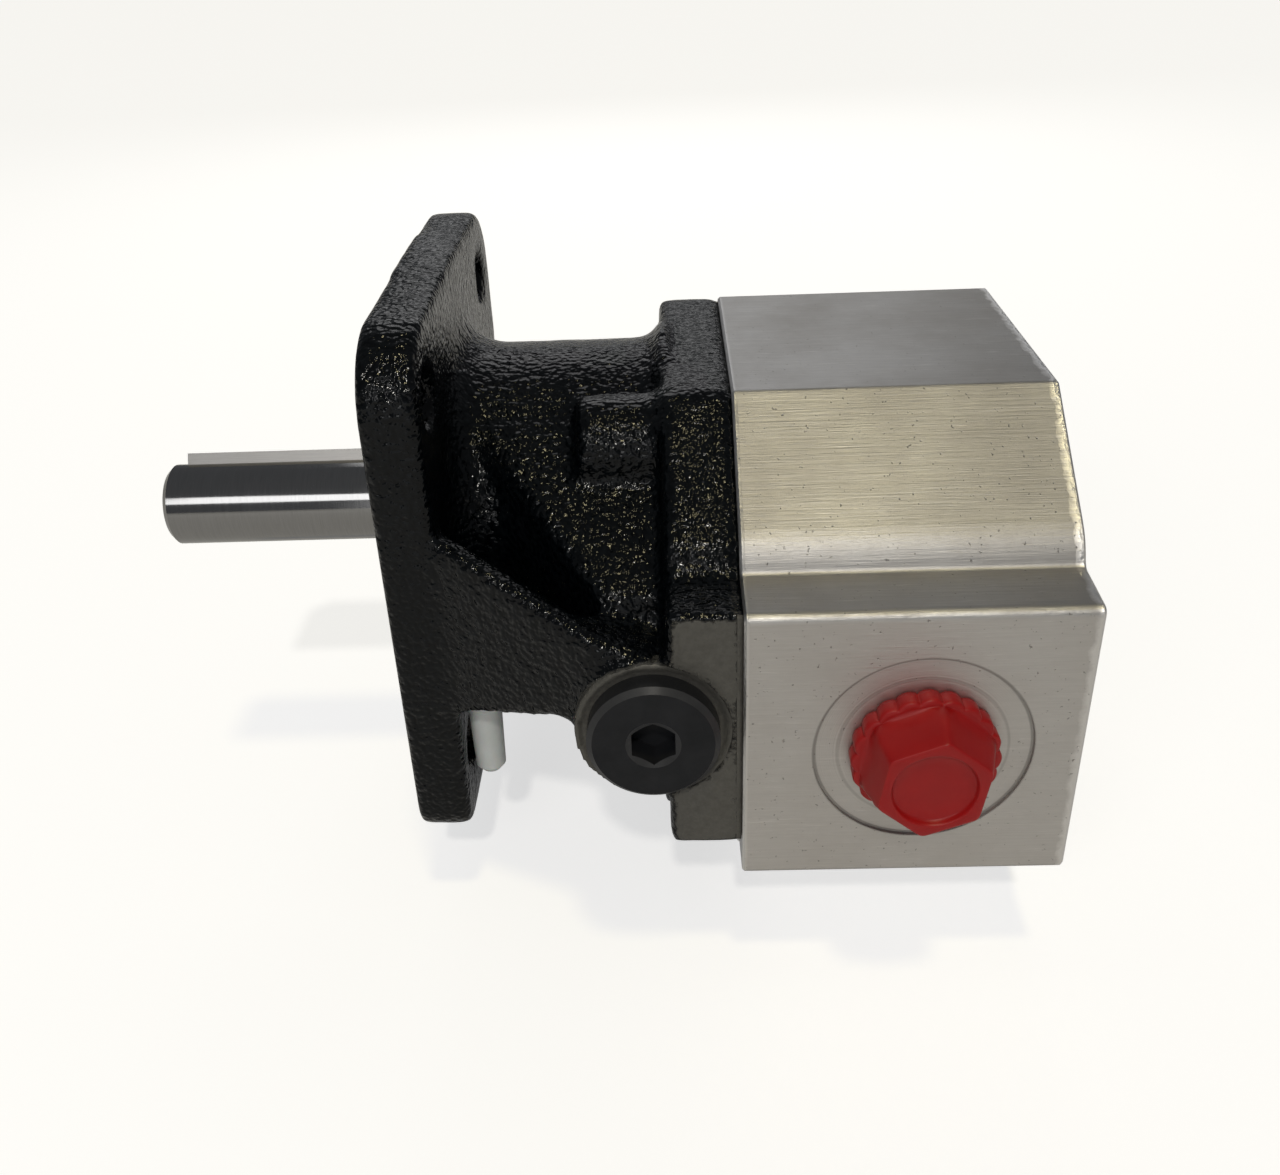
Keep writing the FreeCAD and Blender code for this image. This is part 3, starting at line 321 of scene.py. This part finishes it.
def make_aluminium():
    """Satin metal with lines along X and worn ends, with painted light and shade on the port face.
    """
    finish = Finish("brushed_aluminium", Metallic=1.0)
    lines = finish.noise(1.0, detail=4, roughness=0.7, place=finish.stretched((70, 2400, 2400)))
    bands = finish.noise(1.0, detail=2, place=finish.stretched((14, 420, 420)))
    stray = finish.noise(1.0, detail=3, roughness=0.7,
                         place=finish.stretched((110, 1500, 1500), turn=(0.0, 0.25, 0.3)))
    clouds = finish.noise(38, detail=5, roughness=0.65)
    dents = finish.noise(300, detail=3, roughness=0.6)
    pits = finish.noise(1300, detail=1).step(0.72, 0.78)
    front = finish.axis("X") - block_low.x
    rear = block_high.x - finish.axis("X") + dents * 3 * MM
    port_edge = finish.axis("Y") - block_low.y + dents * 3 * MM
    worn_ends = 1 - front.step(0.2 * MM, 1.1 * MM) * rear.step(2.4 * MM, 3.6 * MM)
    # painted highlight: upward faces along the port face's top edge are made brighter, standing in
    # for light caught on that edge
    painted_ledge_highlight = (1 - port_edge.step(1.6 * MM, 2.6 * MM)) * finish.facing("Z").step(0.15, 0.5)
    # real wear at the ends, joined with the painted ledge highlight
    wear_and_ledge_highlight = worn_ends.maximum(painted_ledge_highlight * 0.4)
    from_port = finish.distance_from_axis(Vector((cap_axis.x, 0, cap_axis.z)))
    toward_port = (finish.facing("Y") * -1).step(0.9, 0.98)

    def ring(start, end):
        """1 between two radii of the port, on the faces that look the port's way."""
        rise = from_port.step(start, start + RING_FADE)
        return rise * (1 - from_port.step(end, end + RING_FADE)) * toward_port

    spot = (1 - from_port.step(SPOTFACE_RADIUS, SPOTFACE_RADIUS + RING_FADE)) * toward_port
    # painted shade: two thin dark rings round the port, where the spotface and the port's mouth
    # step down
    inner_ring_painted_shade = ring(PORT_RING_RADIUS, PORT_RING_RADIUS + 0.5 * MM)
    outer_ring_painted_shade = ring(SPOTFACE_RADIUS - RING_FADE, SPOTFACE_RADIUS + 0.5 * MM)
    base = finish.blend(lines, grey(0.38, 0.02), grey(0.66, 0.02))
    base = finish.blend(stray.step(0.60, 0.72) * 0.5, base, grey(0.74, 0.02))
    base = finish.blend(clouds.step(0.40, 0.75) * 0.45, base, grey(0.34, 0.07))
    # lighter where the ends are worn and where the ledge highlight is painted
    base = finish.blend(wear_and_ledge_highlight * 0.8, base, grey(0.88, 0.01))
    # painted light: the whole port face is lightened and warmed, standing in for the lamps' light
    # on that side
    base = finish.blend(toward_port * 0.35, base, grey(0.84, 0.06))
    # the painted shade rings darken the base
    base = finish.blend(inner_ring_painted_shade * 0.25 + outer_ring_painted_shade * 0.5, base, grey(0.15, 0.05))
    base = finish.blend(pits * 0.6, base, grey(0.20, 0.05))
    finish.set("Base Color", base)
    finish.set("Roughness", (0.31 + lines * 0.16 + clouds * 0.16) - wear_and_ledge_highlight * 0.12)
    rings = finish.turned_rings(from_port, 3400)
    height = ((lines * 0.9 + bands * 0.6 + stray * 0.35) * (1 - spot) + rings * spot * 0.8
              - pits * 0.9 + dents * wear_and_ledge_highlight * 3.0)
    finish.set("Normal", finish.bump(height, 0.00008))
    return finish


make_aluminium().wear("gear_housing")
print("aluminium on the gear housing")

# %% [markdown]
# ## Bright shaft, dark key
# The stub shaft is ground between rollers: very fine rings round it, and almost a mirror.  The key
# is cold-drawn bar, duller, with lines along its length.

# %% Steel finishes
def make_steel(name, level, roughness, lines, depth, warm=0.0):
    """Bare steel; lines is the number of noise cells per metre along each axis."""
    finish = Finish(name, Metallic=1.0)
    scratch = finish.noise(1.0, detail=3, roughness=0.65, place=finish.stretched(lines))
    clouds = finish.noise(60, detail=3)
    finish.set("Base Color",
               finish.blend(scratch, grey(level * 0.8, warm), grey(level * 1.15, warm)))
    finish.set("Roughness", roughness + scratch * 0.10 + clouds * 0.08)
    finish.set("Normal", finish.bump(scratch, depth))
    return finish


GROUND_RINGS = (5200, 180, 180)
DRAWN_LINES = (80, 3500, 3500)
make_steel("ground_steel", 0.33, 0.02, GROUND_RINGS, 0.000003, 0.01).wear("drive_shaft")
make_steel("ground_journal", 0.62, 0.12, GROUND_RINGS, 0.000005).wear("idler_shaft")
key_finish = make_steel("drawn_key_steel", 0.33, 0.30, DRAWN_LINES, 0.00002, 0.02)
for key in ("shaft_key", "gear_key"):
    key_finish.wear(key)
gear_finish = make_steel("hardened_gear_steel", 0.42, 0.24, (2400, 2400, 2400), 0.00001)
for gear in ("drive_gear", "idler_gear"):
    gear_finish.wear(gear)
polished = make_steel("polished_bearing_steel", 0.66, 0.10, (3000, 3000, 3000), 0.000003)
for piece in ("bearing_outer_ring", "bearing_inner_ring", "bearing_balls", "dowel_pins"):
    polished.wear(piece)
valve_steel = make_steel("turned_valve_steel", 0.48, 0.25, (300, 4200, 300), 0.00001)
for piece in ("valve_seat", "valve_poppet"):
    valve_steel.wear(piece)

# %% [markdown]
# ## Black oxide
# The valve plug and the screws are blackened steel: almost black, a little glossy, turned in fine
# rings, with the chamfers rubbed lighter.

# %% Black oxide finish
def make_black_oxide(name, ring_place=None):
    """Blackened steel; ring_place is a point on the axis, along Y, that turned rings run round."""
    finish = Finish(name, Metallic=0.1, Specular_IOR_Level=0.16)
    clouds = finish.noise(160, detail=4, roughness=0.6)
    base = finish.blend(clouds, (0.010, 0.011, 0.013, 1), (0.030, 0.031, 0.035, 1))
    height = finish.noise(3200, detail=2) * 0.5
    if ring_place is not None:
        rings = finish.turned_rings(finish.distance_from_axis(ring_place), 5200)
        height = height + rings * 0.7
        chamfer = finish.facing("Y").step(-0.95, -0.85) * (finish.facing("Y") * -1).step(0.3, 0.5)
        base = finish.blend(chamfer * (0.3 + clouds * 0.5), base, (0.075, 0.076, 0.08, 1))
    finish.set("Base Color", base)
    finish.set("Roughness", 0.26 + clouds * 0.18)
    finish.set("Normal", finish.bump(height, 0.000012))
    return finish


make_black_oxide("black_oxide_plug", valve_axis).wear("valve_plug")
plain_oxide = make_black_oxide("black_oxide")
for piece in ("assembly_screws", "bearing_retaining_ring"):
    plain_oxide.wear(piece)

# %% [markdown]
# ## Rubber, bronze, nylon
# The hidden parts get their true finishes too, since the model is taken apart on screen.

# %% Finishes of the small parts
def make_speckled(name, dark, light, scale, roughness, depth, **constants):
    """Two tones mixed by noise, with the same noise as a fine relief."""
    finish = Finish(name, **constants)
    speckle = finish.noise(scale, detail=4, roughness=0.6)
    finish.set("Base Color", finish.blend(speckle, dark, light))
    finish.set("Roughness", roughness + speckle * 0.15)
    finish.set("Normal", finish.bump(speckle, depth))
    return finish


rubber = make_speckled("nitrile_rubber", (0.008, 0.008, 0.008, 1), (0.025, 0.025, 0.025, 1), 900,
                       0.42, 0.00001)
for piece in ("section_seal", "shaft_seal", "valve_plug_seal"):
    rubber.wear(piece)
bronze = make_speckled("turned_bronze", (0.35, 0.20, 0.08, 1), (0.60, 0.40, 0.19, 1), 700,
                       0.24, 0.00001, Metallic=1.0)
for piece in nodes:
    if piece.startswith("bushing") or piece == "rear_thrust_plate":
        bronze.wear(piece)
make_speckled("machined_block", grey(0.5), grey(0.68), 1200, 0.28, 0.00001,
              Metallic=1.0).wear("front_bearing_block")
make_speckled("cage_nylon", (0.55, 0.46, 0.26, 1), (0.68, 0.60, 0.38, 1), 500, 0.42,
              0.00001).wear("bearing_cage")
make_speckled("white_nylon", (0.62, 0.66, 0.65, 1), (0.80, 0.83, 0.82, 1), 250, 0.34, 0.00003,
              Subsurface_Weight=0.15, Subsurface_Scale=0.002).wear("drain_plug")

# %% [markdown]
# ## The casting's skin
# A sand casting has no sharp edge except where a cutter has been.  The CAD solid has the right
# masses, so its surface is rebuilt as an even net of small squares, and every point that no
# cutter touched is drawn towards its neighbours again and again.  That rounds ridges and fills
# corners alike, as wet sand does.

# %% Read a mesh as arrays
def points_of(mesh):
    points = np.empty(len(mesh.vertices) * 3)
    mesh.vertices.foreach_get("co", points)
    return points.reshape(-1, 3)


def edges_of(mesh):
    edges = np.empty(len(mesh.edges) * 2, int)
    mesh.edges.foreach_get("vertices", edges)
    return edges.reshape(-1, 2)


def even_net(node, voxel):
    """The node's surface rebuilt as quads about one voxel wide."""
    net = bmesh.new()
    net.from_mesh(nodes[node].data)
    bmesh.ops.remove_doubles(net, verts=net.verts, dist=1e-6)
    mesh = bpy.data.meshes.new(node + "_net")
    net.to_mesh(mesh)
    net.free()
    helper = add(node + "_net", mesh)
    remesh = helper.modifiers.new("net", "REMESH")
    remesh.mode, remesh.voxel_size = "VOXEL", voxel
    graph = bpy.context.evaluated_depsgraph_get()
    result = bpy.data.meshes.new_from_object(helper.evaluated_get(graph))
    bpy.data.objects.remove(helper)
    return result


# %% Smooth and roughen
def relax(points, edges, freedom, rounds):
    """Moves each point to its neighbours' mean, by its own freedom from 0 to 1, repeatedly."""
    count = np.bincount(edges.ravel(), minlength=len(points))[:, None]
    for _ in range(rounds):
        total = np.zeros_like(points)
        for axis in range(3):
            total[:, axis] = (np.bincount(edges[:, 0], points[edges[:, 1], axis], len(points))
                              + np.bincount(edges[:, 1], points[edges[:, 0], axis], len(points)))
        points = points + freedom * 0.5 * (total / count - points)
    return points


def ripple(points, length, waves, seed):
    """A smooth random field round 0: many plane waves of one length, pointing all ways."""
    random = np.random.default_rng(seed)
    ways = random.normal(size=(3, waves))
    ways *= 2 * np.pi / length / np.linalg.norm(ways, axis=0)
    phases = random.uniform(0, 2 * np.pi, waves)
    return np.sin(points @ ways + phases).sum(axis=1) / np.sqrt(waves)


# %% The casting's mesh
VOXEL = 0.95 * MM
CUT_DEPTH = 0.35 * MM
BORE_REACH = 26 * MM
VALVE_REACH = 15.5 * MM
VALVE_DEPTH = 12 * MM
SMOOTHING_ROUNDS = 14
PLANE_WAVES = 40


def machined(points):
    """Where a cutter has been: 1 on the joint face, in the bores and in the valve spotface."""
    x, y, z = points.T
    from_shaft = np.hypot(y, z)
    from_valve = np.hypot(x - valve_axis.x, z - valve_axis.z)
    joint = x > casting_high.x - CUT_DEPTH
    shaft_bore = from_shaft < BORE_REACH
    valve_bore = ((from_valve < VALVE_REACH) & (y > casting_low.y + CUT_DEPTH)
                  & (y < valve_axis.y + VALVE_DEPTH))
    return (joint | shaft_bore | valve_bore).astype(float)[:, None]


def milled(points):
    """1 on the flat faces that stay free of ripples: the flange's front and the valve pad."""
    flat = (points[:, 0] < CUT_DEPTH) | (points[:, 1] < casting_low.y + CUT_DEPTH)
    return flat.astype(float)[:, None]


def make_casting_skin():
    mesh = even_net("front_housing", VOXEL)
    points, edges = points_of(mesh), edges_of(mesh)
    cast = 1.0 - machined(points)
    points = relax(points, edges, cast, SMOOTHING_ROUNDS)
    mesh.vertices.foreach_set("co", points.ravel())
    mesh.update()
    normals = np.empty(len(points) * 3)
    mesh.vertices.foreach_get("normal", normals)
    swell = (ripple(points, 7.5 * MM, PLANE_WAVES, seed=3) * 0.03
             + ripple(points, 3.0 * MM, PLANE_WAVES, seed=4) * 0.012) * MM
    rough = cast * (1.0 - milled(points))
    points = points + normals.reshape(-1, 3) * rough * swell[:, None]
    mesh.vertices.foreach_set("co", points.ravel())
    mesh.polygons.foreach_set("use_smooth", np.ones(len(mesh.polygons), bool))
    mesh.update()
    skin = add("casting_skin", mesh)
    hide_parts("front_housing")
    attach(skin, "pump_body")
    print("casting skin: %d faces" % len(mesh.polygons))
    return skin


casting_skin = make_casting_skin()

# %% [markdown]
# ## Gloss paint over cast iron
# The paint is thick and glossy but follows the grain of the sand, so it shines in thousands of
# points.  The pad for the valve and the joint faces were milled after painting: there the grey
# iron is bare, and the edge of the paint is ragged.

# %% Paint finish
SPOTFACE_EDGE = 15.2
JOINT_WIDTH = 1.5 * MM


def make_paint():
    """Black gloss over sand grain, worn to bare iron on the milled faces; depths are in mm."""
    finish = Finish("cast_iron_paint", Specular_IOR_Level=0.26)
    orange_peel = finish.noise(430, detail=1, roughness=0.5)
    sand = finish.noise(900, detail=0)
    sparkle = finish.noise(1700, detail=0)
    broad = finish.noise(120, detail=3)
    ragged = finish.noise(700, detail=4, roughness=0.65)
    depth = (finish.axis("Y") - casting_low.y) * (1 / MM)
    facing = (finish.facing("Y") * -1).step(0.55, 0.8)
    on_pad = (1 - (depth + (ragged - 0.5) * 0.9).step(0.25, 0.45)) * facing
    from_valve = finish.distance_from_axis(valve_axis) * (1 / MM)
    within = 1 - (from_valve + (ragged - 0.5) * 0.6).step(SPOTFACE_EDGE, SPOTFACE_EDGE + 0.4)
    spotface = within * (1 - depth.step(3.5, 4.0))
    past_joint = (finish.axis("X") - (casting_high.x - JOINT_WIDTH)).step(0.0, 0.3 * MM)
    joint_edge = past_joint * (1 - depth.step(1.2, 1.5))
    bare = on_pad.maximum(spotface).maximum(joint_edge)
    paint = finish.blend(sand.step(0.3, 0.7), (0.0003, 0.0008, 0.0014, 1),
                         (0.0030, 0.0042, 0.0056, 1))
    iron = finish.blend(ragged, (0.085, 0.082, 0.074, 1), (0.175, 0.170, 0.155, 1))
    finish.set("Base Color", finish.blend(bare, paint, iron))
    finish.set("Metallic", bare * 0.5)
    finish.set("Roughness", (0.10 + broad * 0.08) * (1 - bare) + (0.45 + ragged * 0.15) * bare)
    height = (orange_peel * 0.9 + sand * 0.8 + sparkle * 0.25) * (1 - bare) + sparkle * bare * 0.1
    finish.set("Normal", finish.bump(height, 0.0005))
    return finish


casting_skin.data.materials.append(make_paint().material)

# %% [markdown]
# ## The outlet cap
# The cap is moulded in soft red plastic.  Its outline changes along its axis: a round shank, a
# flange with twenty rounded lobes for the fingers, then a hexagon that tapers to a dished end.
# One grid of angle against station along the axis gives the whole surface.

# %% The cap as a surface
LOBES = 20
LOBE_DEPTH = 0.85 * MM
HEX_TURN = math.radians(21)
CAP_FLANGE = 4.2 * MM
SHANK_RADIUS = 12.0 * MM
CAP_STEPS, CAP_ANGLES = 3, 480
cap_radius = (cap_high.x - cap_low.x) / 2
port_plane = block_low.y + 0.6 * MM


def hexagon_radius(angle, power=26):
    """Radius of a round-cornered hexagon with flats 1 from the centre: the power mean of flats."""
    flats = HEX_TURN + np.radians(30 + 60 * np.arange(6))
    reach = np.clip(np.cos(angle[..., None] - flats), 0, None)
    return (reach ** power).sum(axis=-1) ** (-1 / power)


def cap_stations():
    """Stations from the shank's end to the dish: (y, radius, hexagon share, lobe depth) rows."""
    deep, tip = cap_high.y, cap_low.y
    flange, top = port_plane, port_plane - CAP_FLANGE
    hexagon_foot, hexagon_tip = 11.9 * MM, 9.75 * MM
    dish, dish_floor = 8.1 * MM, tip + 1.2 * MM
    return np.array([
        (deep, 0, 0, 0), (deep, SHANK_RADIUS - 1 * MM, 0, 0),
        (deep - 2 * MM, SHANK_RADIUS, 0, 0), (flange + 0.05 * MM, SHANK_RADIUS, 0, 0),
        (flange + 0.02 * MM, SHANK_RADIUS + 1.2 * MM, 0, 0.2),
        (flange - 0.5 * MM, cap_radius, 0, 1), (top + 0.7 * MM, cap_radius, 0, 1),
        (top + 0.2 * MM, cap_radius - 0.25 * MM, 0, 0.9), (top, cap_radius - 0.9 * MM, 0, 0.5),
        (top - 0.05 * MM, cap_radius - 1.8 * MM, 0.3, 0), (top - 0.5 * MM, hexagon_foot, 1, 0),
        (tip + 0.6 * MM, hexagon_tip + 0.1 * MM, 1, 0),
        (tip + 0.15 * MM, hexagon_tip - 0.1 * MM, 1, 0),
        (tip, hexagon_tip - 0.5 * MM, 1, 0), (tip, dish + 0.15 * MM, 0, 0),
        (tip + 0.12 * MM, dish, 0, 0), (dish_floor - 0.2 * MM, dish - 0.35 * MM, 0, 0),
        (dish_floor, dish - 0.6 * MM, 0, 0), (dish_floor, 0, 0, 0)])


def grid_mesh(name, grid):
    """A mesh over a (stations, angles, 3) grid, closed round the angle, its poles welded."""
    rows, columns = grid.shape[:2]
    index = np.arange(rows * columns).reshape(rows, columns)
    following = np.roll(index, -1, axis=1)
    quads = np.stack([index[:-1], index[1:], following[1:], following[:-1]], axis=-1)
    mesh = bpy.data.meshes.new(name)
    mesh.from_pydata(grid.reshape(-1, 3), [], quads.reshape(-1, 4).tolist())
    net = bmesh.new()
    net.from_mesh(mesh)
    bmesh.ops.remove_doubles(net, verts=net.verts, dist=1e-7)
    bmesh.ops.dissolve_degenerate(net, dist=1e-8, edges=net.edges)
    bmesh.ops.recalc_face_normals(net, faces=net.faces)
    net.to_mesh(mesh)
    net.free()
    mesh.polygons.foreach_set("use_smooth", np.ones(len(mesh.polygons), bool))
    return mesh


def make_cap():
    stations = cap_stations()
    fine = np.linspace(0, len(stations) - 1, (len(stations) - 1) * CAP_STEPS + 1)
    y, radius, hexagonal, lobed = (np.interp(fine, np.arange(len(stations)), column)[:, None]
                                   for column in stations.T)
    angle = np.linspace(0, 2 * np.pi, CAP_ANGLES, endpoint=False)[None, :]
    lobe = LOBE_DEPTH * (1 - np.abs(np.cos(angle * LOBES / 2)) ** 0.7)
    outline = radius * (1 + hexagonal * (hexagon_radius(angle) - 1)) - lobed * lobe
    grid = np.stack([cap_axis.x + outline * np.cos(angle), np.broadcast_to(y, outline.shape),
                     cap_axis.z + outline * np.sin(angle)], axis=-1)
    cap = add("outlet_cap", grid_mesh("outlet_cap", grid))
    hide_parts("outlet_port_plug")
    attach(cap, "pump_body")
    print("outlet cap: %d faces" % len(cap.data.polygons))
    return cap


outlet_cap = make_cap()

# %% Cap finish
def make_red_plastic():
    """Soft moulded plastic: light sinks in a little, and the gloss is slightly uneven."""
    finish = Finish("red_plastic", Subsurface_Weight=0.25, Subsurface_Scale=0.002,
                    Subsurface_Radius=(1.0, 0.1, 0.05), Specular_IOR_Level=0.4)
    clouds = finish.noise(220, detail=3)
    finish.set("Base Color",
               finish.blend(clouds, (0.34, 0.004, 0.005, 1), (0.44, 0.008, 0.008, 1)))
    finish.set("Roughness", 0.32 + clouds * 0.14)
    finish.set("Normal", finish.bump(clouds, 0.00006))
    return finish


outlet_cap.data.materials.append(make_red_plastic().material)

# %% [markdown]
# ## The relief spring
# The spring shortens as the poppet lifts, which a rigid body can't do.  So a coil of the same wire
# and turns takes its place, as a mesh of its own at the length the spring has in the frame.

# %% Relief spring
SPRING_WIRE, SPRING_PITCH, VALVE_LIFT = 1.8 * MM, 3.9 * MM, 3.0 * MM
COIL_STEPS, WIRE_ANGLES = 240, 24


def make_spring():
    """The coil starts at the poppet's shoulder; a point of no thickness closes each end."""
    low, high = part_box("valve_spring")
    centre, length = (low + high) / 2, high.y - low.y
    wire = SPRING_WIRE / 2
    coil_radius = (high.x - low.x) / 2 - wire
    turns = (length - SPRING_WIRE) / SPRING_PITCH
    turn = np.linspace(0, turns * 2 * np.pi, COIL_STEPS)[:, None]
    thickness = np.full(turn.shape, wire)
    turn = np.concatenate([turn[:1], turn, turn[-1:]])
    thickness = np.concatenate([[[0]], thickness, [[0]]])
    angle = np.linspace(0, 2 * np.pi, WIRE_ANGLES, endpoint=False)[None, :]
    reach = coil_radius + thickness * np.cos(angle)
    grid = np.stack([centre.x + reach * np.cos(turn),
                     high.y - wire - SPRING_PITCH * turn / (2 * np.pi) + thickness * np.sin(angle),
                     centre.z + reach * np.sin(turn)], axis=-1)
    spring = add("relief_spring", grid_mesh("relief_spring", grid))
    spring.data.materials.append(valve_steel.material)
    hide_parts("valve_spring")
    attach(spring, "pump_body")
    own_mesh(spring)
    print("relief spring: %.1f turns, %.1f mm long" % (turns, length / MM))


make_spring()
